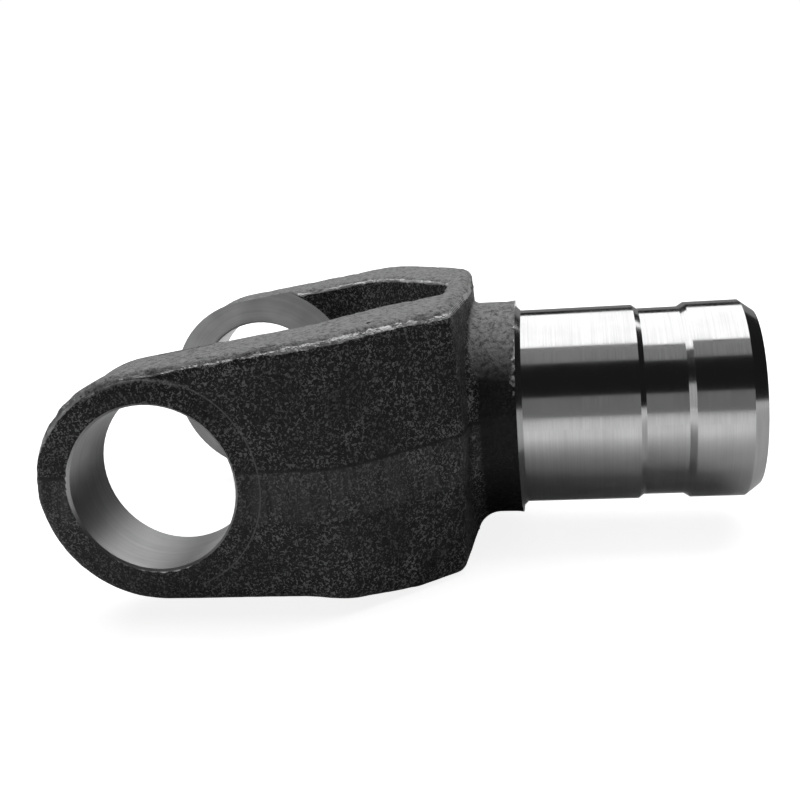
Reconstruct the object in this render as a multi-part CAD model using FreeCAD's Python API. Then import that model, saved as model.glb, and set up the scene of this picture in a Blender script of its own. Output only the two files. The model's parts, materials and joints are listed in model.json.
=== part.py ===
"""Forged driveline yoke: one steel forging with a two-eared fork and a turned spigot.

Frame: the origin is where the axis of the cross bore (Y) meets the axis of the
spigot (X).  The spigot points to +X and Z is the direction in which the two
forging dies close.  All lengths are in millimetres and all angles in degrees.
"""
import FreeCAD, Part

import math
import os
from collections import namedtuple
from FreeCAD import Vector

# --- cross bore and the machined faces of the ears ------------------------------
BORE_R = 15.1             # bearing-cup bore, the same in both ears
BORE_CHAMFER = 0.4        # broken edge at both ends of each bore
JAW_HALF = 31.7           # spigot axis to each machined inner face
SPOT_R = 24.1             # cutter that faced the inside of each ear
EAR_WALL = 16.6           # machined inner face to the outer face of the ear

# --- forged skin ----------------------------------------------------------------
DRAFT = 3.0               # draft of the outer walls
SLOT_DRAFT = 5.0          # draft of the walls between the ears
FRONT_REACH = 22.05       # cross bore's axis to the front of the ears
EYE_TOP_R = 20.55         # round end of each ear above mid height, seen along the bore
EYE_LOW_R = 22.05         # the same below mid height
RISE = 8.0                # slope of the ear's upper edge from the eye to the base
BASE_TOP_Z = 26.0         # mid height to the top of the base
KNEE_R = 130.0            # large curve from the slope to the flat top of the base
EAR_FOOT_X = 28.0         # where the ear's lower edge starts down to the base
EAR_FOOT_R = 40.0         # curve at that place
LOW_RISE = 12.0           # slope from there to the underside of the base
BASE_LOW_Z = 25.3         # mid height to the underside of the base
LOW_KNEE_R = 8.0          # curve from that slope to the flat underside
EDGE_R = 2.6              # rounding of the outer edges
SLOT_EDGE_R = 2.0         # rounding of the edges of the slot
BACK_X = 56.0             # back of the base, on the spigot axis
BACK_LEAN = 4.0           # how far the back face leans forward to each side
BACK_CROWN_R = 100.0      # crown that joins its two halves
BACK_HALF_Y = 29.5        # half width of the back, at its corners
TAPER = 43.0              # angle by which the base narrows to the back
SHOULDER_R = 12.0         # plan curve from the ear's side into the taper
BACK_CORNER_R = 4.5       # plan curve from the taper into the back

# --- slot between the ears --------------------------------------------------------
SLOT_WALL_STOCK = 4.6     # metal that facing took off each ear at mid height
SLOT_WEB = 9.6            # slot's end at mid height to the back of the base
SLOT_END_HALF = 8.2       # half width of the slot's end
SLOT_TAPER = 45.0         # angle by which the slot narrows to its end
SLOT_BEND_R = 8.0         # plan curve from the ear's wall into the taper
SLOT_CORNER_R = 4.0       # plan curve at the slot's end

# --- marks that trimming and coining left ----------------------------------------
TRIM_DEPTH = 0.2          # what trimming the flash took off the widest line
TRIM_TAPER = 1.4          # slant of the trimmed band
NECK_TRIM = 0.36          # depth of the trimmed flats on the neck
NECK_TRIM_R = 2.5         # plan curve from the back face into those flats
BOSS_FLAT_R = 17.0        # flat coined ring round the outer end of the bore
BOSS_R = 19.6             # foot of the slope round that ring
BOSS_SINK = 0.35          # how far the ring lies inside the widest line
BOSS_DROP = 0.6           # height of the slope

# --- neck and turned spigot -------------------------------------------------------
NECK_R = 22.0
NECK_LENGTH = 7.15        # back of the base to the machined shoulder
NECK_TOP_FILLET = 1.4     # where the neck leaves the back, above mid height
NECK_LOW_FILLET = 4.5     # the same below mid height
ROOT_BEVEL = 1.05         # bevel at the foot of the first land
LAND_R = 19.85            # both bearing lands of the spigot
LAND_1_LENGTH = 23.3      # shoulder to the end of the first land
STEP_RUN = 1.1            # length of the bevels beside the relief
RELIEF_DEPTH = 0.8        # the turned relief between the lands
RELIEF_LENGTH = 7.9
LAND_2_START_RUN = 1.3
LAND_2_LENGTH = 10.5
END_BEVEL_RUN = 2.8       # lead-in bevel: length and height
END_BEVEL_DROP = 2.1
CENTRE_R = 3.2            # countersink of the centre hole left from turning
CENTRE_PILOT_R = 1.6
CENTRE_PILOT_DEPTH = 3.0
CENTRE_ANGLE = 60.0
SPIGOT_SINK = 6.0         # how deep behind the slot's end the turned solid starts

# --- derived ------------------------------------------------------------------------
EAR_HALF = JAW_HALF + EAR_WALL
PARTING_HALF = EAR_HALF + TRIM_DEPTH
SLOT_HALF = JAW_HALF - SLOT_WALL_STOCK
SLOT_END_X = BACK_X - SLOT_WEB
SHOULDER_X = BACK_X + NECK_LENGTH
FRONT_X = -FRONT_REACH
BLANK_SPARE = 4.0                            # how far the blanks reach past the part
OPEN_X = FRONT_X - BLANK_SPARE
DIE_DEPTH = max(BASE_TOP_Z, BASE_LOW_Z) + BLANK_SPARE
LAND_1_END = SHOULDER_X + LAND_1_LENGTH
RELIEF_START = LAND_1_END + STEP_RUN
RELIEF_END = RELIEF_START + RELIEF_LENGTH
LAND_2_START = RELIEF_END + LAND_2_START_RUN
LAND_2_END = LAND_2_START + LAND_2_LENGTH
SPIGOT_END = LAND_2_END + END_BEVEL_RUN
CENTRE_DEPTH = (CENTRE_R - CENTRE_PILOT_R) / math.tan(math.radians(CENTRE_ANGLE / 2.0))

ORIGIN = Vector(0.0, 0.0, 0.0)
ALONG = Vector(1.0, 0.0, 0.0)    # the spigot's axis
ACROSS = Vector(0.0, 1.0, 0.0)   # the cross bore's axis
UP = Vector(0.0, 0.0, 1.0)
SAME = 1e-6                      # points nearer than this are one point

Span = namedtuple("Span", "first middle last centre")


def rounded(corners, radii, z=0.0):
    """Straight and round spans of a closed outline, each corner with its own radius."""
    points = [Vector(x, y, z) for x, y in corners]
    bends = []
    for i, (corner, radius) in enumerate(zip(points, radii)):
        before = (points[i - 1] - corner).normalize()
        after = (points[(i + 1) % len(points)] - corner).normalize()
        half = before.getAngle(after) / 2.0
        run = radius / math.tan(half)
        inwards = (before + after).normalize()
        centre = corner + inwards * (radius / math.sin(half))
        middle = centre - inwards * radius
        bends.append(Span(corner + before * run, middle, corner + after * run, centre))
    spans = []
    for i, bend in enumerate(bends):
        if radii[i] > 0.0:
            spans.append(bend)
        following = bends[(i + 1) % len(bends)].first
        if (following - bend.last).Length > SAME:
            spans.append(Span(bend.last, None, following, None))
    return spans


def wire_of(spans):
    """Closed wire along the spans of an outline."""
    edges = []
    for span in spans:
        if span.centre is None:
            edges.append(Part.makeLine(span.first, span.last))
        else:
            edges.append(Part.Arc(span.first, span.middle, span.last).toShape())
    return Part.Wire(edges)


def wall(low, high):
    """Face between the same span at two heights: flat, or a cone round the span's centre."""
    if low.centre is None:
        return Part.Face(Part.makePolygon([low.first, low.last, high.last, high.first, low.first]))
    start = low.first - low.centre
    end = low.last - low.centre
    turn = math.degrees(math.atan2(start.cross(end).z, start.dot(end)))
    side = Part.makeLine(low.first, high.first)
    return side.revolve(low.centre, UP if turn > 0.0 else -UP, abs(turn))


def drafted(spans_at, low_z, high_z):
    """Solid between two heights, whose outline at each height spans_at gives."""
    low = spans_at(low_z)
    high = spans_at(high_z)
    faces = [wall(one, two) for one, two in zip(low, high)]
    faces += [Part.Face(wire_of(low)), Part.Face(wire_of(high))]
    shell = Part.makeShell(faces)
    shell.sewShape()
    solid = Part.makeSolid(shell)
    if solid.Volume < 0.0:
        solid.reverse()
    return solid


def meeting(one, two, grow):
    """Plan corner of two walls, each a (bearing, reach) pair, when both move out by grow."""
    first = math.radians(one[0])
    second = math.radians(two[0])
    reach_1 = one[1] + grow
    reach_2 = two[1] + grow
    turn = math.sin(second - first)
    x = (reach_1 * math.sin(second) - reach_2 * math.sin(first)) / turn
    y = (reach_2 * math.cos(first) - reach_1 * math.cos(second)) / turn
    return x, y


def reach_of(bearing, x, y):
    """Distance from the origin to the wall of that bearing through a plan point."""
    return x * math.cos(math.radians(bearing)) + y * math.sin(math.radians(bearing))


def plan(near, end, near_radii, end_radii, grow, z):
    """Closed plan outline at height z, the same on both sides of the spigot's axis.

    near holds the walls of the -Y side towards +X, end those across the axis.  Each
    is the bearing it faces and its distance from the origin.  The radii are those of
    the corners in turn, negative where the outline is hollow.
    """
    far = [(-bearing, reach) for bearing, reach in reversed(near)]
    walls = [(180.0, -OPEN_X)] + near + end + far
    corners = [meeting(one, two, grow) for one, two in zip(walls, walls[1:] + walls[:1])]
    radii = near_radii + end_radii + near_radii[::-1]
    return rounded(corners, [abs(radius + grow) if radius else 0.0 for radius in radii], z)


def outer_walls():
    """Walls of the fork's -Y side at mid height."""
    corner_x = BACK_X - BACK_HALF_Y * math.tan(math.radians(BACK_LEAN))
    taper = TAPER - 90.0
    return [
        (-90.0, PARTING_HALF),
        (taper, reach_of(taper, corner_x, -BACK_HALF_Y)),
        (-BACK_LEAN, reach_of(-BACK_LEAN, BACK_X, 0.0)),
    ]


def outer_spans(z):
    """Plan outline of the fork at height z, drawn in by the draft."""
    grow = -abs(z) * math.tan(math.radians(DRAFT))
    return plan(outer_walls(), [], [0.0, SHOULDER_R, BACK_CORNER_R], [BACK_CROWN_R], grow, z)


def trim_spans(z):
    """Plan outline of the trimming tool at height z, which slants through the part."""
    grow = z * math.tan(math.radians(TRIM_TAPER)) - TRIM_DEPTH
    near = outer_walls() + [(-90.0, NECK_R - NECK_TRIM + TRIM_DEPTH)]
    end = [(0.0, SHOULDER_X + BLANK_SPARE)]
    return plan(near, end, [0.0, SHOULDER_R, BACK_CORNER_R, -NECK_TRIM_R, 0.0], [], grow, z)


def slot_spans(z):
    """Plan outline of the slot between the ears at height z, widened by its draft."""
    grow = abs(z) * math.tan(math.radians(SLOT_DRAFT))
    taper = SLOT_TAPER - 90.0
    near = [(-90.0, SLOT_HALF), (taper, reach_of(taper, SLOT_END_X, -SLOT_END_HALF))]
    return plan(near, [(0.0, SLOT_END_X)], [0.0, SLOT_BEND_R, SLOT_CORNER_R], [], grow, z)


def upper_side():
    """Corners and radii of the side view above mid height."""
    end_x = BACK_X + 1.0
    corner_z = EYE_TOP_R * math.tan(math.radians(45.0 - RISE / 2.0))
    knee_x = FRONT_X + (BASE_TOP_Z - corner_z) / math.tan(math.radians(RISE))
    corners = [(FRONT_X, 0.0), (FRONT_X, corner_z), (knee_x, BASE_TOP_Z), (end_x, BASE_TOP_Z), (end_x, 0.0)]
    return corners, [0.0, EYE_TOP_R, KNEE_R, 0.0, 0.0]


def lower_side():
    """Corners and radii of the side view below mid height, measured downwards."""
    end_x = BACK_X + 1.0
    knee_x = EAR_FOOT_X + (BASE_LOW_Z - EYE_LOW_R) / math.tan(math.radians(LOW_RISE))
    ear = [(FRONT_X, 0.0), (FRONT_X, EYE_LOW_R), (EAR_FOOT_X, EYE_LOW_R)]
    corners = ear + [(knee_x, BASE_LOW_Z), (end_x, BASE_LOW_Z), (end_x, 0.0)]
    return corners, [0.0, EYE_LOW_R, EAR_FOOT_R, LOW_KNEE_R, 0.0, 0.0]


def side_blank(side):
    """Side view of one half of the forging, as a solid wider than the part."""
    corners, radii = side
    face = Part.Face(wire_of(rounded(corners, radii)))
    face.rotate(ORIGIN, ALONG, 90.0)
    reach = PARTING_HALF + BLANK_SPARE
    face.translate(ACROSS * reach)
    return face.extrude(ACROSS * (-2.0 * reach))


def sharp_edges(shape, least=30.0):
    """Edges off the mid plane at which two faces meet at more than least degrees."""
    chosen = []
    for edge in shape.Edges:
        first, last = edge.ParameterRange
        middle = edge.valueAt((first + last) / 2.0)
        if middle.z < 0.5:
            continue
        normals = []
        for face in shape.ancestorsOfType(edge, Part.Face):
            u, v = face.Surface.parameter(middle)
            normals.append(face.normalAt(u, v))
        if len(normals) == 2 and math.degrees(normals[0].getAngle(normals[1])) > least:
            chosen.append(edge)
    return chosen


def fork_half(side, neck_fillet):
    """Forged fork and neck above mid height, with the slot and rounded edges."""
    half = drafted(outer_spans, 0.0, DIE_DEPTH).common(side_blank(side))
    half = half.makeFillet(EDGE_R, sharp_edges(half))
    neck = Part.makeCylinder(NECK_R, SHOULDER_X - SLOT_END_X, ALONG * SLOT_END_X, ALONG)
    above = Part.makeBox(2.0 * NECK_R, 4.0 * NECK_R, 2.0 * NECK_R)
    above.translate(Vector(SLOT_END_X, -2.0 * NECK_R, 0.0))
    half = half.fuse(neck.common(above)).removeSplitter()
    foot = [edge for edge in sharp_edges(half) if edge.CenterOfMass.x < BACK_X + EDGE_R]
    half = half.makeFillet(neck_fillet, foot)
    half = half.cut(drafted(slot_spans, 0.0, DIE_DEPTH))
    mouth = [edge for edge in sharp_edges(half) if edge.CenterOfMass.x < BACK_X]
    return half.makeFillet(SLOT_EDGE_R, mouth)


def turned_solid(profile, axis):
    """Solid of revolution about X or Y from its (station, radius) corners."""
    points = [axis * station + UP * radius for station, radius in profile]
    face = Part.Face(Part.makePolygon(points + [points[0]]))
    return face.revolve(ORIGIN, axis, 360.0)


def spigot():
    """Turned end: shoulder, two bearing lands, the relief between them and the bevels."""
    start_x = SLOT_END_X + SPIGOT_SINK
    crest_r = LAND_R + ROOT_BEVEL
    relief_r = LAND_R - RELIEF_DEPTH
    pilot_x = SPIGOT_END - CENTRE_DEPTH
    bottom_x = pilot_x - CENTRE_PILOT_DEPTH
    outside = [
        (start_x, 0.0), (start_x, crest_r), (SHOULDER_X, crest_r),
        (SHOULDER_X + ROOT_BEVEL, LAND_R), (LAND_1_END, LAND_R),
        (RELIEF_START, relief_r), (RELIEF_END, relief_r),
        (LAND_2_START, LAND_R), (LAND_2_END, LAND_R),
        (SPIGOT_END, LAND_R - END_BEVEL_DROP),
    ]
    centre_hole = [
        (SPIGOT_END, CENTRE_R), (pilot_x, CENTRE_PILOT_R),
        (bottom_x, CENTRE_PILOT_R), (bottom_x, 0.0),
    ]
    return turned_solid(outside + centre_hole, ALONG)


def coined_bosses():
    """Low flat ring round the outer end of each bore, with a slope round it."""
    face_y = PARTING_HALF - BOSS_SINK
    foot_y = face_y - BOSS_DROP
    low_y = JAW_HALF + EAR_WALL / 2.0
    profile = [(low_y, 0.0), (face_y, 0.0), (face_y, BOSS_FLAT_R), (foot_y, BOSS_R), (low_y, BOSS_R)]
    near = turned_solid([(-y, radius) for y, radius in profile], ACROSS)
    return near.fuse(turned_solid(profile, ACROSS))


def cross_bore():
    """Cutter for both bores, their broken edges and the machined inner faces."""
    rim = BORE_R + BORE_CHAMFER
    out_y = PARTING_HALF + 1.0
    face_y = PARTING_HALF - BOSS_SINK
    side = [
        (JAW_HALF, SPOT_R), (JAW_HALF, rim), (JAW_HALF + BORE_CHAMFER, BORE_R),
        (face_y - BORE_CHAMFER, BORE_R), (face_y, rim), (out_y, rim + (out_y - face_y)),
    ]
    far = [(y, radius) for y, radius in side]
    near = [(-y, radius) for y, radius in reversed(side)]
    profile = [(-out_y, 0.0)] + near + far + [(out_y, 0.0)]
    return turned_solid(profile, ACROSS)


def yoke():
    """The whole part: forging, trimmed flash line, turned spigot and bored ears."""
    upper = fork_half(upper_side(), NECK_TOP_FILLET)
    lower = fork_half(lower_side(), NECK_LOW_FILLET).mirror(ORIGIN, UP)
    forging = upper.fuse(lower).removeSplitter()
    forging = forging.common(drafted(trim_spans, -DIE_DEPTH, DIE_DEPTH))
    forging = forging.fuse(coined_bosses())
    part = forging.fuse(spigot()).cut(cross_bore())
    return part.removeSplitter().Solids[0]


if __name__ == "__main__":
    os.makedirs("parts", exist_ok=True)
    shape = yoke()
    shape.exportStep("parts/yoke.step")
    print("yoke:", shape.ShapeType, len(shape.Solids), "solid, valid", shape.isValid())
    print("volume", round(shape.Volume), "box", shape.BoundBox)
    print("faces", len(shape.Faces))
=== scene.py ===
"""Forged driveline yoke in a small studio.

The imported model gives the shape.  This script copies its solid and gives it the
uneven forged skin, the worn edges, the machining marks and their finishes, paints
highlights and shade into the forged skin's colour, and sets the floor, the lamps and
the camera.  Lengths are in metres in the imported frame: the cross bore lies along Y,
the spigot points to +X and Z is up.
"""
import json
import logging
import math
from dataclasses import dataclass, field
from enum import Enum

import bmesh
import bpy
import numpy as np
from mathutils import Matrix, Vector
from mathutils.kdtree import KDTree


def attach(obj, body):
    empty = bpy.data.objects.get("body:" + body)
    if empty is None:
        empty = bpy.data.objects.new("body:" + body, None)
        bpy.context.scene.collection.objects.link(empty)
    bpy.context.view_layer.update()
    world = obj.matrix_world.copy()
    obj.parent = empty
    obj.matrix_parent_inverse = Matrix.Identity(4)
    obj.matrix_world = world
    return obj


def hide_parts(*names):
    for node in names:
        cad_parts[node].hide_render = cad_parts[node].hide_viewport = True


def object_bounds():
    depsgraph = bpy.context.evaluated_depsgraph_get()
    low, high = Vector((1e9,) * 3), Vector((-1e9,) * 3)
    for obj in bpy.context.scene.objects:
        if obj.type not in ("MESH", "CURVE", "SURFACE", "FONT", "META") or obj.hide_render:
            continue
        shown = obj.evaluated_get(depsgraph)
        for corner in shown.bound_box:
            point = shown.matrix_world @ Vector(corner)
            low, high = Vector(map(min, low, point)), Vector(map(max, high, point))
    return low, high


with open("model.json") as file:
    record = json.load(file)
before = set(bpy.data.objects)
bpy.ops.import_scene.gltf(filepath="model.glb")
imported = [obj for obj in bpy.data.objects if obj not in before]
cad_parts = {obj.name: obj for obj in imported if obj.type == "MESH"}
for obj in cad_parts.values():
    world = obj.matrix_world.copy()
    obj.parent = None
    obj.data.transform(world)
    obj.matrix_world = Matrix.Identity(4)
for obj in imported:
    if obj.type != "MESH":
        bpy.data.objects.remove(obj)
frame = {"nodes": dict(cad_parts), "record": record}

CAD_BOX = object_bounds()
MM = 0.001
WHITE = (1.0, 1.0, 1.0, 1.0)
LOG = logging.getLogger("yoke")

Colour = tuple[float, float, float]
Triple = tuple[float, float, float]
Socket = bpy.types.NodeSocket


class Surface(Enum):
    """The three ways in which the surface of the yoke was made."""

    FORGED = 0
    BORED = 1
    TURNED = 2


class Axis(Enum):
    """The axis round which a cutting tool turned."""

    X = "X"
    Y = "Y"


@dataclass(frozen=True)
class Ramp:
    """A change from start to end while a value goes from low to high."""

    low: float
    high: float
    start: float = 0.0
    end: float = 1.0

    def of(self, values: np.ndarray) -> np.ndarray:
        """Returns the values turned by the ramp in a straight line."""
        return np.interp(values, (self.low, self.high), (self.start, self.end))


@dataclass(frozen=True)
class Pattern:
    """Seeded noise.

    Attributes:
        size: the size of one blot, in metres.
        detail: how many finer layers lie on it.
        rough: how strong the finer layers are.
        seed: picks the pattern.
        bend: how far the blots are twisted into worms.
    """

    size: float
    detail: float
    rough: float
    seed: float
    bend: float = 0.0


def mount(name: str) -> dict:
    """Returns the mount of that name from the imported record."""
    return next(item for item in frame["record"]["mounts"] if item["name"] == name)


def rgba(colour: Colour) -> tuple[float, float, float, float]:
    """Returns the colour with an alpha of one."""
    return (*colour, 1.0)


def read(items: bpy.types.bpy_prop_collection, name: str, width: int = 1, kind: type = float) -> np.ndarray:
    """Reads one property of every item.

    Args:
        items: the vertices, edges or other items.
        name: the property's name.
        width: how many numbers it has.
        kind: the type of the numbers.

    Returns:
        The numbers, with a row for each item where the property has more than one.
    """
    values = np.empty(len(items) * width, dtype=kind)
    items.foreach_get(name, values)
    return values.reshape(-1, width) if width > 1 else values


class Graph:
    """Adds nodes to one node tree and joins them."""

    def __init__(self, tree: bpy.types.NodeTree) -> None:
        """Starts an empty graph in the tree."""
        self.tree = tree
        tree.nodes.clear()

    def set(self, socket: Socket, value: object) -> None:
        """Links the value to the socket if it is a socket itself, or stores it there.

        Args:
            socket: the input to fill.
            value: an output socket or a plain value.
        """
        if isinstance(value, Socket):
            self.tree.links.new(value, socket)
        else:
            socket.default_value = value

    def node(self, kind: str, values: dict | None = None, **options: object) -> bpy.types.Node:
        """Adds a node.

        Args:
            kind: the node's type name.
            values: input sockets, by name or number, with what goes into each.
            options: properties of the node itself.

        Returns:
            The new node.
        """
        node = self.tree.nodes.new(kind)
        for name, option in options.items():
            setattr(node, name, option)
        for key, value in (values or {}).items():
            self.set(node.inputs[key], value)
        return node

    def math(self, operation: str, first: object, second: object = 0.0, clamp: bool = False) -> Socket:
        """Returns the result of one operation on two numbers."""
        node = self.node("ShaderNodeMath", {0: first, 1: second}, operation=operation, use_clamp=clamp)
        return node.outputs[0]

    def times(self, first: object, second: object) -> Socket:
        """Returns the product of two numbers."""
        return self.math("MULTIPLY", first, second)

    def plus(self, first: object, second: object) -> Socket:
        """Returns the sum of two numbers."""
        return self.math("ADD", first, second)

    def apart(self, first: object, second: object) -> Socket:
        """Returns the distance between two numbers."""
        return self.math("ABSOLUTE", self.math("SUBTRACT", first, second))

    def length(self, first: object, second: object) -> Socket:
        """Returns the length of a step of two numbers at right angles."""
        return self.math("SQRT", self.plus(self.times(first, first), self.times(second, second)))

    def span(self, value: object, ramp: Ramp) -> Socket:
        """Returns the value turned smoothly by the ramp."""
        values = {0: value, 1: ramp.low, 2: ramp.high, 3: ramp.start, 4: ramp.end}
        return self.node("ShaderNodeMapRange", values, interpolation_type="SMOOTHSTEP").outputs[0]

    def noise(self, vector: object, pattern: Pattern) -> Socket:
        """Adds seeded noise.

        Args:
            vector: the coordinates.
            pattern: the noise's sizes and seed.

        Returns:
            The noise's value, from 0 to 1.
        """
        values = {
            "Vector": vector, "W": pattern.seed, "Scale": 1.0 / pattern.size,
            "Detail": pattern.detail, "Roughness": pattern.rough, "Distortion": pattern.bend,
        }
        return self.node("ShaderNodeTexNoise", values, noise_dimensions="4D").outputs[0]

    # A mix node holds its numbers in inputs 2 and 3 and its colours in inputs 6 and 7.

    def mix(self, share: object, first: object, second: object) -> Socket:
        """Returns the blend of two colours, by the share of the second."""
        node = self.node("ShaderNodeMix", {0: share, 6: first, 7: second}, data_type="RGBA")
        return node.outputs[2]

    def blend(self, share: object, first: object, second: object) -> Socket:
        """Returns the blend of two numbers, by the share of the second."""
        return self.node("ShaderNodeMix", {0: share, 2: first, 3: second}).outputs[0]

    def split(self, vector: object) -> list[Socket]:
        """Returns the three numbers of a vector."""
        return list(self.node("ShaderNodeSeparateXYZ", {0: vector}).outputs)

    def join(self, x: object, y: object, z: object) -> Socket:
        """Returns the vector of three numbers."""
        return self.node("ShaderNodeCombineXYZ", {0: x, 1: y, 2: z}).outputs[0]

    def attribute(self, name: str) -> Socket:
        """Returns a number that the mesh carries under that name."""
        return self.node("ShaderNodeAttribute", attribute_name=name).outputs["Fac"]

    def bump(self, height: object, depth: float, strength: float) -> Socket:
        """Returns the surface direction with a relief of that depth on it."""
        values = {"Height": height, "Distance": depth, "Strength": strength}
        return self.node("ShaderNodeBump", values).outputs[0]


def new_material(name: str) -> tuple[bpy.types.Material, Graph, bpy.types.Node, Socket]:
    """Starts a material.

    Args:
        name: the material's name.

    Returns:
        The material, its graph, its shader node and the object coordinates.
    """
    material = bpy.data.materials.new(name)
    material.use_nodes = True
    graph = Graph(material.node_tree)
    shader = graph.node("ShaderNodeBsdfPrincipled")
    graph.node("ShaderNodeOutputMaterial", {0: shader.outputs[0]})
    place = graph.node("ShaderNodeTexCoord").outputs["Object"]
    return material, graph, shader, place


@dataclass(frozen=True)
class ForgedScale:
    """Black scale of the forging, gritty, and worn bright where it stands out, with painted light on its
    tops, upper rims and bore ring and painted shade on its neck and trim line.
    """

    name: str = "forged scale"
    # Near black: the hollows of the grit, and also the painted shade on the neck and along the trim line.
    hollow_and_painted_shade: Colour = (0.001, 0.001, 0.001)
    scale: Colour = (0.010, 0.010, 0.0103)
    # Grey: the specks, and also the painted highlight line on the ring round the bore.
    speck_and_ring_highlight: Colour = (0.32, 0.32, 0.322)
    sheared: Colour = (0.085, 0.085, 0.087)
    # Lighter grey on the faces that look upwards: painted light from the lamp above, on a smoother skin.
    smooth: Colour = (0.42, 0.42, 0.422)
    # Pale grey for the upper edges: real wear, and also a painted highlight where the rims tilt towards the
    # lamp above.
    rubbed_and_highlight: Colour = (0.62, 0.62, 0.625)
    grit: Pattern = Pattern(1.0 * MM, 4.0, 0.7, seed=1.0, bend=0.6)
    specks: Pattern = Pattern(0.5 * MM, 1.0, 0.5, seed=2.0, bend=1.2)
    blotch: Pattern = Pattern(7.0 * MM, 3.0, 0.55, seed=3.0)
    wear: Pattern = Pattern(1.1 * MM, 4.0, 0.65, seed=4.0)
    streaks: Pattern = Pattern(0.9 * MM, 2.0, 0.6, seed=5.0)
    streak_squash: float = 0.12
    grit_ramp: Ramp = Ramp(0.36, 0.62)
    speck_ramp: Ramp = Ramp(0.525, 0.6)
    blotch_ramp: Ramp = Ramp(0.3, 0.75, 0.35, 1.0)
    streak_ramp: Ramp = Ramp(0.35, 0.65, 0.15, 0.75)
    top_ramp: Ramp = Ramp(0.32, 0.6, 0.2, 0.95)
    # Painted shade: past 55.5 mm along the spigot's axis the forged neck is darkened nearly to black.
    neck_painted_shade_ramp: Ramp = Ramp(55.5 * MM, 56.5 * MM, 0.0, 0.92)
    band_foot: Ramp = Ramp(-7.3 * MM, -6.7 * MM)
    band_head: Ramp = Ramp(2.35 * MM, 2.65 * MM, 1.0, 0.0)
    # Painted shade: a dark line on the sides at the head of the sheared band, standing in for the shade in a
    # crease.
    line_z: float = 2.5 * MM
    line_ramp: Ramp = Ramp(0.12 * MM, 0.5 * MM, 0.85, 0.0)
    # Painted highlight: a thin bright line at this radius round the bore, on the sides.
    ring_r: float = 19.6 * MM
    ring_ramp: Ramp = Ramp(0.05 * MM, 0.22 * MM, 0.5, 0.0)
    ring_ends: Ramp = Ramp(3.0 * MM, 9.0 * MM)
    # Upper rims: worn bright and given a painted highlight.
    rim_weight: float = 0.74
    rub_and_highlight_ramp: Ramp = Ramp(0.84, 1.0)
    grit_roughness: Ramp = Ramp(0.3, 0.7, 0.62, 0.42)
    rubbed_roughness: float = 0.34
    gloss: float = 0.4
    speck_relief: float = 0.3
    relief_depth: float = 0.4 * MM

    def material(self) -> bpy.types.Material:
        """Builds the material in layers, from the dark hollows and the painted shade up to the worn edges and
        their painted highlight.

        Returns:
            The material, which reads the side, top and rim attributes of the mesh.
        """
        material, graph, shader, place = new_material(self.name)
        x, _, z = graph.split(place)
        grit = graph.noise(place, self.grit)
        specks = graph.noise(place, self.specks)
        rub_and_highlight = self.rubbing_and_highlight(graph, place)
        layers = (
            (self.shearing(graph, x, z), self.sheared),
            (self.speckling(graph, place, specks), self.speck_and_ring_highlight),
            # Painted shade: the neck darkened nearly to black.
            (graph.span(x, self.neck_painted_shade_ramp), self.hollow_and_painted_shade),
            # Painted light: the upward faces lightened in patches.
            (graph.times(graph.attribute("top"), graph.span(grit, self.top_ramp)), self.smooth),
            # Painted shade: the dark line at the head of the sheared band.
            (self.trim_line_painted_shade(graph, z), self.hollow_and_painted_shade),
            # Worn edges with a painted highlight.
            (rub_and_highlight, self.rubbed_and_highlight),
            # Painted highlight: the thin bright line on the ring round the bore.
            (self.ring_painted_highlight(graph, x, z), self.speck_and_ring_highlight),
        )
        colour = graph.mix(graph.span(grit, self.grit_ramp), rgba(self.hollow_and_painted_shade), rgba(self.scale))
        for share, shade in layers:
            colour = graph.mix(share, colour, rgba(shade))
        graph.set(shader.inputs["Base Color"], colour)
        graph.set(shader.inputs["Metallic"], rub_and_highlight)
        coarse = graph.span(grit, self.grit_roughness)
        graph.set(shader.inputs["Roughness"], graph.blend(rub_and_highlight, coarse, self.rubbed_roughness))
        shader.inputs["Specular IOR Level"].default_value = self.gloss
        height = graph.blend(self.speck_relief, grit, specks)
        graph.set(shader.inputs["Normal"], graph.bump(height, self.relief_depth, 1.0))
        return material

    def shearing(self, graph: Graph, x: Socket, z: Socket) -> Socket:
        """Finds the streaky band that the trimming tool left.

        Args:
            graph: the material's graph.
            x: the place along the spigot's axis.
            z: the height.

        Returns:
            How strongly the band shows.
        """
        band = graph.times(graph.span(z, self.band_foot), graph.span(z, self.band_head))
        band = graph.times(band, graph.attribute("side"))
        streaks = graph.noise(graph.join(x, 0.0, graph.times(z, self.streak_squash)), self.streaks)
        return graph.times(band, graph.span(streaks, self.streak_ramp))

    def speckling(self, graph: Graph, place: Socket, specks: Socket) -> Socket:
        """Returns how strongly the specks show, more in some blotches than in others."""
        often = graph.span(graph.noise(place, self.blotch), self.blotch_ramp)
        return graph.math("MULTIPLY", graph.span(specks, self.speck_ramp), often, clamp=True)

    def trim_line_painted_shade(self, graph: Graph, z: Socket) -> Socket:
        """Returns how strongly the painted shade line at the head of the sheared band shows."""
        line = graph.span(graph.apart(z, self.line_z), self.line_ramp)
        return graph.times(line, graph.attribute("side"))

    def rubbing_and_highlight(self, graph: Graph, place: Socket) -> Socket:
        """Returns how far the upper edges are worn bright and carry a painted highlight, most where they tilt
        half way up towards the lamp above.
        """
        rim = graph.times(graph.attribute("rim"), self.rim_weight)
        return graph.span(graph.plus(rim, graph.noise(place, self.wear)), self.rub_and_highlight_ramp)

    def ring_painted_highlight(self, graph: Graph, x: Socket, z: Socket) -> Socket:
        """Finds the painted highlight line on the edge of the ring that was coined round the bore.

        Args:
            graph: the material's graph.
            x: the place along the spigot's axis.
            z: the height.

        Returns:
            How strongly the painted highlight line shows.
        """
        ring = graph.span(graph.apart(graph.length(x, z), self.ring_r), self.ring_ramp)
        ring = graph.times(ring, graph.attribute("side"))
        return graph.times(ring, graph.span(x, self.ring_ends))


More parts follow.
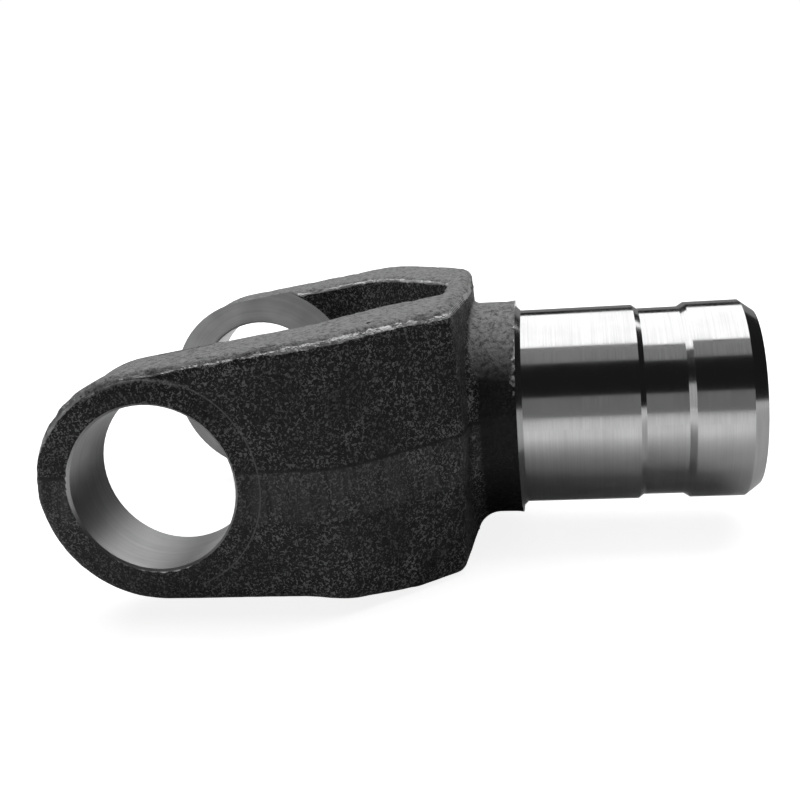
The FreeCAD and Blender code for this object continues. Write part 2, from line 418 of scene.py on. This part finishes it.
@dataclass(frozen=True)
class CutSteel:
    """Bare steel with the marks of a tool that turned round one axis."""

    name: str
    axis: Axis
    colour: Colour
    shade: Colour
    rough_low: float
    rough_high: float
    mark_size: float
    mark_depth: float
    mark_strength: float = 0.6
    fine_share: float = 0.6
    broad_ratio: float = 6.0
    turn_scale: float = 0.25 * MM
    blotch: Pattern = Pattern(6.0 * MM, 3.0, 0.5, seed=13.0)
    blotch_share: float = 0.4
    tone_low: float = 0.3
    tone_high: float = 0.7

    def material(self) -> bpy.types.Material:
        """Builds the material, whose marks run round the axis.

        Returns:
            The material.
        """
        material, graph, shader, place = new_material(self.name)
        x, y, z = graph.split(place)
        along, side = (y, x) if self.axis is Axis.Y else (x, y)
        turn = graph.times(graph.math("ARCTAN2", z, side), self.turn_scale)
        marks_at = graph.join(along, graph.length(side, z), turn)
        fine = graph.noise(marks_at, Pattern(self.mark_size, 2.0, 0.6, seed=11.0))
        broad = graph.noise(marks_at, Pattern(self.mark_size * self.broad_ratio, 2.0, 0.5, seed=12.0))
        marks = graph.blend(self.fine_share, broad, fine)
        tone = graph.blend(self.blotch_share, marks, graph.noise(place, self.blotch))
        pale = graph.span(tone, Ramp(self.tone_low, self.tone_high))
        rough = graph.span(tone, Ramp(self.tone_low, self.tone_high, self.rough_high, self.rough_low))
        graph.set(shader.inputs["Base Color"], graph.mix(pale, rgba(self.shade), rgba(self.colour)))
        shader.inputs["Metallic"].default_value = 1.0
        graph.set(shader.inputs["Roughness"], rough)
        graph.set(shader.inputs["Normal"], graph.bump(marks, self.mark_depth, self.mark_strength))
        return material


@dataclass(frozen=True)
class SkinRelief:
    """Geometry Nodes tree that wears and dents the forged skin inwards."""

    swell_depth: float = 0.22 * MM
    swell_size: float = 9.0 * MM
    swell_detail: float = 1.0
    grain_depth: float = 0.10 * MM
    grain_size: float = 2.2 * MM
    grain_detail: float = 3.0
    edge_depth: float = 0.35 * MM
    edge_size: float = 2.6 * MM
    edge_detail: float = 2.0
    edge_ramp: Ramp = Ramp(0.45, 0.72)
    nick_depth: float = 0.7 * MM
    seed: float = 7.0

    def tree(self) -> bpy.types.NodeTree:
        """Builds the tree.

        Returns:
            The tree, with a named input for each size, the seed and the three finishes.
        """
        tree = bpy.data.node_groups.new("forged skin relief", "GeometryNodeTree")
        tree.interface.new_socket("Geometry", in_out="OUTPUT", socket_type="NodeSocketGeometry")
        tree.interface.new_socket("Geometry", in_out="INPUT", socket_type="NodeSocketGeometry")
        for title in self.numbers():
            tree.interface.new_socket(title, in_out="INPUT", socket_type="NodeSocketFloat")
        for surface in Surface:
            tree.interface.new_socket(surface.name, in_out="INPUT", socket_type="NodeSocketMaterial")
        graph = Graph(tree)
        given = graph.node("NodeGroupInput").outputs
        depth = graph.times(self.depth(graph, given), -1.0)
        normal = graph.node("GeometryNodeInputNormal").outputs[0]
        offset = graph.node("ShaderNodeVectorMath", {0: normal, "Scale": depth}, operation="SCALE").outputs[0]
        values = {"Geometry": given["Geometry"], "Offset": offset}
        moved = graph.node("GeometryNodeSetPosition", values).outputs[0]
        shaped = graph.node("GeometryNodeRealizeInstances", {0: moved}).outputs[0]
        kind = self.stored(graph, "surface", "INT")
        for surface in Surface:
            whole = {2: kind, 3: surface.value}
            same = graph.node("FunctionNodeCompare", whole, data_type="INT", operation="EQUAL").outputs[0]
            values = {"Geometry": shaped, "Selection": same, "Material": given[surface.name]}
            shaped = graph.node("GeometryNodeSetMaterial", values).outputs[0]
        graph.node("NodeGroupOutput", {0: shaped})
        return tree

    def depth(self, graph: Graph, given: bpy.types.bpy_prop_collection) -> Socket:
        """Adds up the swell, the grain, the chipped edges and the nick.

        Args:
            graph: the tree's graph.
            given: the outputs of the tree's input node.

        Returns:
            How far each vertex moves inwards, which is nothing on the machined faces.
        """
        place = graph.node("GeometryNodeInputPosition").outputs[0]
        swell = self.layer(graph, place, given["Swell size"], given["Seed"], self.swell_detail)
        grain = self.layer(graph, place, given["Grain size"], given["Seed"], self.grain_detail)
        chips = self.layer(graph, place, given["Edge size"], given["Seed"], self.edge_detail)
        chipped = graph.times(self.stored(graph, "edge"), graph.span(chips, self.edge_ramp))
        depth = graph.times(swell, given["Swell depth"])
        depth = graph.plus(depth, graph.times(grain, given["Grain depth"]))
        depth = graph.plus(depth, graph.times(chipped, given["Edge depth"]))
        depth = graph.plus(depth, graph.times(self.stored(graph, "nick"), given["Nick depth"]))
        return graph.times(depth, self.stored(graph, "skin"))

    def numbers(self) -> dict[str, float]:
        """Returns the tree's number inputs and their values."""
        return {
            "Swell depth": self.swell_depth,
            "Swell size": self.swell_size,
            "Grain depth": self.grain_depth,
            "Grain size": self.grain_size,
            "Edge depth": self.edge_depth,
            "Edge size": self.edge_size,
            "Nick depth": self.nick_depth,
            "Seed": self.seed,
        }

    @staticmethod
    def layer(graph: Graph, place: Socket, size: Socket, seed: Socket, detail: float) -> Socket:
        """Returns one layer of unevenness from 0 to 1."""
        values = {"Vector": place, "W": seed, "Scale": graph.math("DIVIDE", 1.0, size), "Detail": detail}
        return graph.node("ShaderNodeTexNoise", values, noise_dimensions="4D").outputs[0]

    @staticmethod
    def stored(graph: Graph, name: str, kind: str = "FLOAT") -> Socket:
        """Returns the number that the mesh carries under that name."""
        return graph.node("GeometryNodeInputNamedAttribute", {0: name}, data_type=kind).outputs[0]

    def apply(self, piece: bpy.types.Object, materials: dict[Surface, bpy.types.Material]) -> None:
        """Runs the tree on the piece and keeps the result as its plain mesh.

        Args:
            piece: the object, whose mesh carries the skin, edge, nick and surface attributes.
            materials: the finish of each kind of surface.
        """
        modifier = piece.modifiers.new("skin", "NODES")
        modifier.node_group = self.tree()
        values: dict[str, object] = dict(self.numbers())
        values.update({surface.name: material for surface, material in materials.items()})
        for item in modifier.node_group.interface.items_tree:
            if item.in_out == "INPUT" and item.name in values:
                modifier[item.identifier] = values[item.name]
        graph = bpy.context.evaluated_depsgraph_get()
        shaped = piece.evaluated_get(graph)
        mesh = bpy.data.meshes.new_from_object(shaped, preserve_all_data_layers=True, depsgraph=graph)
        piece.modifiers.remove(modifier)
        piece.data = mesh


@dataclass
class Yoke:
    """The yoke: one forging with two bored ears and a turned spigot."""

    node: str = "yoke"
    weld: float = 0.002 * MM
    sliver: float = 0.005 * MM
    longest_side: float = 1.2 * MM
    quick_side: float = 2.5 * MM
    passes: int = 8
    flat: float = math.radians(4.0)
    crease: float = math.radians(28.0)
    shoulder_slack: float = 0.02 * MM
    bore_slack: float = 0.5 * MM
    jaw_slack: float = 0.05 * MM
    facing: float = 0.98
    level: float = 0.02
    pocket_ratio: float = 1.7
    margin: float = 1.4 * MM
    edge_radius: float = 2.6 * MM
    edge_gain: float = 2.0
    edge_limit: float = 1.2
    edge_passes: int = 4
    edge_kept: float = 0.4
    edge_wear: Ramp = Ramp(-0.1, 0.35, 0.1, 1.0)
    rim_middle: float = 0.5
    rim_spread: float = 0.24
    top: Ramp = Ramp(0.45, 0.75)
    upright: Ramp = Ramp(0.15, 0.4, 1.0, 0.0)
    slot_to_shoulder: float = 15.0 * MM
    nick: Triple = (48.8 * MM, -33.4 * MM, 25.4 * MM)
    nick_spread: Triple = (2.4 * MM, 1.1 * MM, 2.0 * MM)
    relief: SkinRelief = field(default_factory=SkinRelief)
    bore_r: float = field(init=False)
    jaw_half: float = field(init=False)
    shoulder_x: float = field(init=False)

    def __post_init__(self) -> None:
        """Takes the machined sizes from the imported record."""
        self.bore_r = mount("cross_bore")["dims"]["r_mm"] * MM
        self.jaw_half = abs(mount("inner_face_near")["pos_m"][1])
        self.shoulder_x = mount("shoulder")["pos_m"][0]

    def build(self) -> bpy.types.Object:
        """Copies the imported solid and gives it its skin.

        Returns:
            The finished piece.
        """
        shape = bmesh.new()
        shape.from_mesh(frame["nodes"][self.node].data)
        bmesh.ops.remove_doubles(shape, verts=shape.verts, dist=self.weld)
        bmesh.ops.dissolve_degenerate(shape, dist=self.sliver, edges=shape.edges)
        self.sort_faces(shape)
        self.refine(shape)
        self.mark_creases(shape)
        mesh = bpy.data.meshes.new("yoke_forging")
        shape.to_mesh(mesh)
        shape.free()
        self.add_weights(mesh)
        piece = bpy.data.objects.new("yoke_forging", mesh)
        bpy.context.collection.objects.link(piece)
        self.relief.apply(piece, self.finishes())
        self.keep_inside(piece.data)
        return piece

    @staticmethod
    def keep_inside(mesh: bpy.types.Mesh) -> None:
        """Moves any vertex that the relief pushed past the solid's box back onto it.

        Args:
            mesh: the finished mesh.
        """
        inside = np.clip(read(mesh.vertices, "co", 3), np.array(CAD_BOX[0]), np.array(CAD_BOX[1]))
        mesh.vertices.foreach_set("co", inside.ravel())
        mesh.update()

    def surface_of(self, face: bmesh.types.BMFace) -> Surface:
        """Tells how a face of the solid was made.

        Args:
            face: the face, with its normal up to date.

        Returns:
            The kind of surface.
        """
        if min(vertex.co.x for vertex in face.verts) > self.shoulder_x - self.shoulder_slack:
            return Surface.TURNED
        centre = face.calc_center_median()
        if math.hypot(centre.x, centre.z) < self.bore_r + self.bore_slack:
            return Surface.BORED
        sideways = abs(face.normal.y)
        if abs(abs(centre.y) - self.jaw_half) < self.jaw_slack and sideways > self.facing:
            return Surface.BORED
        in_jaw = abs(centre.y) < self.jaw_half and centre.x < self.bore_r * self.pocket_ratio
        if in_jaw and sideways < self.level:
            outward = Vector((centre.x, 0.0, centre.z)).normalized()
            if face.normal.dot(outward) < -self.facing:
                return Surface.BORED
        return Surface.FORGED

    def sort_faces(self, shape: bmesh.types.BMesh) -> None:
        """Stores each face's kind of surface on it.

        Args:
            shape: the solid's faces.
        """
        shape.normal_update()
        layer = shape.faces.layers.int.new("surface")
        for face in shape.faces:
            face[layer] = self.surface_of(face).value
            face.smooth = True

    def refine(self, shape: bmesh.types.BMesh) -> None:
        """Divides the forged faces into small even triangles, so that they can be dented.

        Args:
            shape: the solid's faces, sorted by kind of surface.
        """
        layer = shape.faces.layers.int["surface"]
        side = self.longest_side

        def forged(edge: bmesh.types.BMEdge) -> bool:
            """Returns whether only forged faces meet at the edge."""
            return all(face[layer] == Surface.FORGED.value for face in edge.link_faces)

        for _ in range(self.passes):
            longer = [edge for edge in shape.edges if forged(edge) and edge.calc_length() > side]
            if not longer:
                break
            bmesh.ops.subdivide_edges(shape, edges=longer, cuts=1)
            many = [face for face in shape.faces if len(face.verts) > 3]
            bmesh.ops.triangulate(shape, faces=many)
            inner = [
                edge for edge in shape.edges
                if len(edge.link_faces) == 2 and forged(edge) and edge.calc_face_angle(0.0) < self.flat
            ]
            around = list(dict.fromkeys(face for edge in inner for face in edge.link_faces))
            bmesh.ops.beautify_fill(shape, faces=around, edges=inner)

    def mark_creases(self, shape: bmesh.types.BMesh) -> None:
        """Keeps the edges of the machining crisp.

        Args:
            shape: the solid's faces, sorted by kind of surface.
        """
        layer = shape.faces.layers.int["surface"]
        for edge in shape.edges:
            kinds = {face[layer] for face in edge.link_faces}
            edge.smooth = len(kinds) == 1 and edge.calc_face_angle(0.0) < self.crease

    def add_weights(self, mesh: bpy.types.Mesh) -> None:
        """Stores where the skin may move, where it stands out and which way it faces.

        Args:
            mesh: the fine mesh.
        """
        places = read(mesh.vertices, "co", 3)
        normals = read(mesh.vertices, "normal", 3)
        ends = read(mesh.edges, "vertices", 2, np.int64)
        upwards = normals[:, 2]
        edge = self.convexity(places, normals, ends)
        from_nick = (places - np.array(self.nick)) / np.array(self.nick_spread)
        slot_end = self.shoulder_x - self.slot_to_shoulder
        in_slot = (np.abs(places[:, 1]) < self.jaw_half) & (places[:, 0] < slot_end)
        weights = {
            "skin": self.away_from(places, self.machined_vertices(mesh)),
            "edge": edge * self.edge_wear.of(upwards),
            # Rounded edges that tilt half way up, where the material paints wear and a highlight.
            "rim": edge * np.exp(-((upwards - self.rim_middle) / self.rim_spread) ** 2),
            "nick": np.exp(-(from_nick ** 2).sum(axis=1)),
            # How far each vertex faces upwards, where the material paints light.
            "top": self.top.of(upwards),
            "side": np.where(in_slot, 0.0, self.upright.of(np.abs(upwards))),
        }
        for name, values in weights.items():
            layer = mesh.attributes.new(name, "FLOAT", "POINT")
            layer.data.foreach_set("value", values.astype(np.float32))

    @staticmethod
    def machined_vertices(mesh: bpy.types.Mesh) -> np.ndarray:
        """Finds the vertices that touch a machined face.

        Args:
            mesh: the fine mesh, whose faces carry their kind of surface.

        Returns:
            A yes or no for each vertex.
        """
        kinds = read(mesh.attributes["surface"].data, "value", kind=np.int32)
        touched = np.zeros(len(mesh.vertices), dtype=bool)
        for polygon in mesh.polygons:
            if kinds[polygon.index] != Surface.FORGED.value:
                touched[list(polygon.vertices)] = True
        return touched

    def away_from(self, places: np.ndarray, machined: np.ndarray) -> np.ndarray:
        """Weighs the vertices by their distance from the machining.

        Args:
            places: where each vertex lies.
            machined: which of them touch a machined face.

        Returns:
            A weight that rises from 0 on the machined vertices to 1 at the margin.
        """
        chosen = np.flatnonzero(machined)
        tree = KDTree(len(chosen))
        for number in chosen:
            tree.insert(places[number], int(number))
        tree.balance()
        weight = np.zeros(len(places))
        for number in np.flatnonzero(~machined):
            weight[number] = min(1.0, tree.find(places[number])[2] / self.margin)
        return weight

    def convexity(self, places: np.ndarray, normals: np.ndarray, ends: np.ndarray) -> np.ndarray:
        """Finds the rounded outward edges from how the normals spread.

        Args:
            places: where each vertex lies.
            normals: which way it faces.
            ends: the two vertices of each mesh edge.

        Returns:
            How far each vertex lies on an outward edge, about 1 on the rounded edges.
        """
        first, second = ends[:, 0], ends[:, 1]
        step = places[first] - places[second]
        squares = np.maximum((step ** 2).sum(axis=1), 1e-12)
        bend = ((normals[first] - normals[second]) * step).sum(axis=1) / squares
        counts = np.maximum(np.bincount(ends.ravel(), minlength=len(places)).astype(float), 1.0)
        value = np.zeros(len(places))
        np.add.at(value, first, bend)
        np.add.at(value, second, bend)
        value /= counts
        for _ in range(self.edge_passes):
            spread = np.zeros(len(places))
            np.add.at(spread, first, value[second])
            np.add.at(spread, second, value[first])
            value = self.edge_kept * value + (1.0 - self.edge_kept) * spread / counts
        return np.clip(value * self.edge_radius * self.edge_gain, 0.0, self.edge_limit)

    @staticmethod
    def finishes() -> dict[Surface, bpy.types.Material]:
        """Builds the finish of each kind of surface.

        Returns:
            The three materials.
        """
        bored = CutSteel(
            name="bored steel", axis=Axis.Y, colour=(0.52, 0.52, 0.52), shade=(0.36, 0.36, 0.365),
            rough_low=0.30, rough_high=0.44, mark_size=0.35 * MM, mark_depth=0.02 * MM,
        )
        turned = CutSteel(
            name="turned steel", axis=Axis.X, colour=(0.72, 0.72, 0.725), shade=(0.58, 0.58, 0.585),
            rough_low=0.09, rough_high=0.17, mark_size=0.22 * MM, mark_depth=0.008 * MM,
        )
        return {
            Surface.FORGED: ForgedScale().material(),
            Surface.BORED: bored.material(),
            Surface.TURNED: turned.material(),
        }


@dataclass(frozen=True)
class Lamp:
    """A flat rectangular lamp that faces the middle of the part."""

    name: str
    offset: Triple
    width: float
    height: float
    radiance: float

    def build(self, middle: Vector) -> None:
        """Adds the lamp, whose face has the given radiance.

        Args:
            middle: the middle of the part, from which the offset is measured.
        """
        offset = Vector(self.offset)
        data = bpy.data.lights.new(self.name, "AREA")
        data.shape = "RECTANGLE"
        data.size = self.width
        data.size_y = self.height
        data.energy = self.radiance * math.pi * self.width * self.height
        lamp = bpy.data.objects.new(self.name, data)
        lamp.location = middle + offset
        lamp.rotation_euler = (-offset).to_track_quat("-Z", "Y").to_euler()
        lamp.visible_camera = False
        bpy.context.collection.objects.link(lamp)


@dataclass(frozen=True)
class StudioCamera:
    """Camera given by its place, its three angles and its lens."""

    place: Triple = (0.07126, -0.22276, 0.05742)
    yaw: float = 0.1485
    pitch: float = 0.2400
    roll: float = -0.0768
    lens: float = 49.303
    sensor: float = 36.0
    nearest: float = 0.01

    def build(self) -> None:
        """Adds the camera and makes it the scene's."""
        forward = Vector((
            -math.sin(self.yaw) * math.cos(self.pitch),
            math.cos(self.yaw) * math.cos(self.pitch),
            -math.sin(self.pitch),
        ))
        level = Vector((math.cos(self.yaw), math.sin(self.yaw), 0.0))
        above = level.cross(forward)
        right = math.cos(self.roll) * level + math.sin(self.roll) * above
        up = right.cross(forward)
        data = bpy.data.cameras.new("camera")
        data.lens = self.lens
        data.sensor_width = self.sensor
        data.clip_start = self.nearest
        camera = bpy.data.objects.new("camera", data)
        turn = Matrix((right, up, -forward)).transposed().to_4x4()
        camera.matrix_world = Matrix.Translation(Vector(self.place)) @ turn
        bpy.context.collection.objects.link(camera)
        bpy.context.scene.camera = camera


@dataclass(frozen=True)
class Studio:
    """Pale floor, white surroundings, a large soft lamp above and dim ones round the part."""

    floor_size: float = 3.0
    floor_colour: Colour = (0.78, 0.78, 0.78)
    floor_glow: Ramp = Ramp(0.12, 0.5, 0.86, 1.0)
    floor_mirror: Ramp = Ramp(0.03, 0.075, 0.0, 0.33)
    world_mirror: float = 0.004
    world_light: float = 0.008
    lamps: tuple[Lamp, ...] = (
        Lamp("softbox", (0.0, 0.22, 0.45), 0.95, 0.62, 1.5),
        Lamp("soft_edge", (0.0, -0.155, 0.475), 0.95, 0.17, 0.24),
        Lamp("front_fill", (0.0, -0.85, 0.16), 1.5, 0.36, 0.17),
        Lamp("back_fill", (0.0, 0.85, 0.10), 1.5, 0.36, 0.2),
        Lamp("side_fill", (-0.6, -0.25, 0.12), 0.4, 0.3, 0.5),
    )

    def build(self) -> None:
        """Adds the floor, the world, the lamps and the camera."""
        low, high = CAD_BOX
        middle = Vector(((low[0] + high[0]) / 2.0, 0.0, 0.0))
        self.add_floor(low[2])
        self.add_world()
        for lamp in self.lamps:
            lamp.build(middle)
        StudioCamera().build()
        bpy.context.scene.view_settings.view_transform = "Standard"

    def add_floor(self, height: float) -> None:
        """Adds the floor, which glows to the camera and, away from the part, in the steel.

        Args:
            height: the lowest point of the part.
        """
        half = self.floor_size / 2.0
        mesh = bpy.data.meshes.new("floor")
        corners = [(-half, -half, height), (half, -half, height), (half, half, height), (-half, half, height)]
        mesh.from_pydata(corners, [], [(0, 1, 2, 3)])
        material = bpy.data.materials.new("floor")
        material.use_nodes = True
        graph = Graph(material.node_tree)
        matt = graph.node("ShaderNodeBsdfDiffuse", {0: rgba(self.floor_colour)}).outputs[0]
        x, y, _ = graph.split(graph.node("ShaderNodeTexCoord").outputs["Object"])
        path = graph.node("ShaderNodeLightPath").outputs
        seen = graph.times(path["Is Camera Ray"], graph.span(graph.length(x, y), self.floor_glow))
        mirror = graph.span(graph.math("ABSOLUTE", y), self.floor_mirror)
        strength = graph.plus(seen, graph.times(path["Is Glossy Ray"], mirror))
        glow = graph.node("ShaderNodeEmission", {"Color": WHITE, "Strength": strength})
        both = graph.node("ShaderNodeAddShader", {0: matt, 1: glow.outputs[0]}).outputs[0]
        graph.node("ShaderNodeOutputMaterial", {0: both})
        mesh.materials.append(material)
        floor = bpy.data.objects.new("floor", mesh)
        bpy.context.collection.objects.link(floor)

    def add_world(self) -> None:
        """Makes the surroundings white to the camera and through glass, and dim as light."""
        world = bpy.data.worlds.new("surroundings")
        world.use_nodes = True
        graph = Graph(world.node_tree)
        path = graph.node("ShaderNodeLightPath").outputs
        straight = graph.math("MAXIMUM", path["Is Camera Ray"], path["Is Transmission Ray"])
        mirrored = graph.times(path["Is Glossy Ray"], self.world_mirror)
        strength = graph.plus(graph.math("ADD", straight, mirrored, clamp=True), self.world_light)
        background = graph.node("ShaderNodeBackground", {"Color": WHITE, "Strength": strength})
        graph.node("ShaderNodeOutputWorld", {0: background.outputs[0]})
        bpy.context.scene.world = world


def main() -> None:
    """Builds the yoke and the studio."""
    logging.basicConfig(level=logging.INFO, format="%(name)s: %(message)s")
    piece = Yoke().build()
    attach(piece, "root")
    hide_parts("yoke")
    LOG.info("%s: %d faces", piece.name, len(piece.data.polygons))
    Studio().build()


if __name__ == "__main__":
    main()
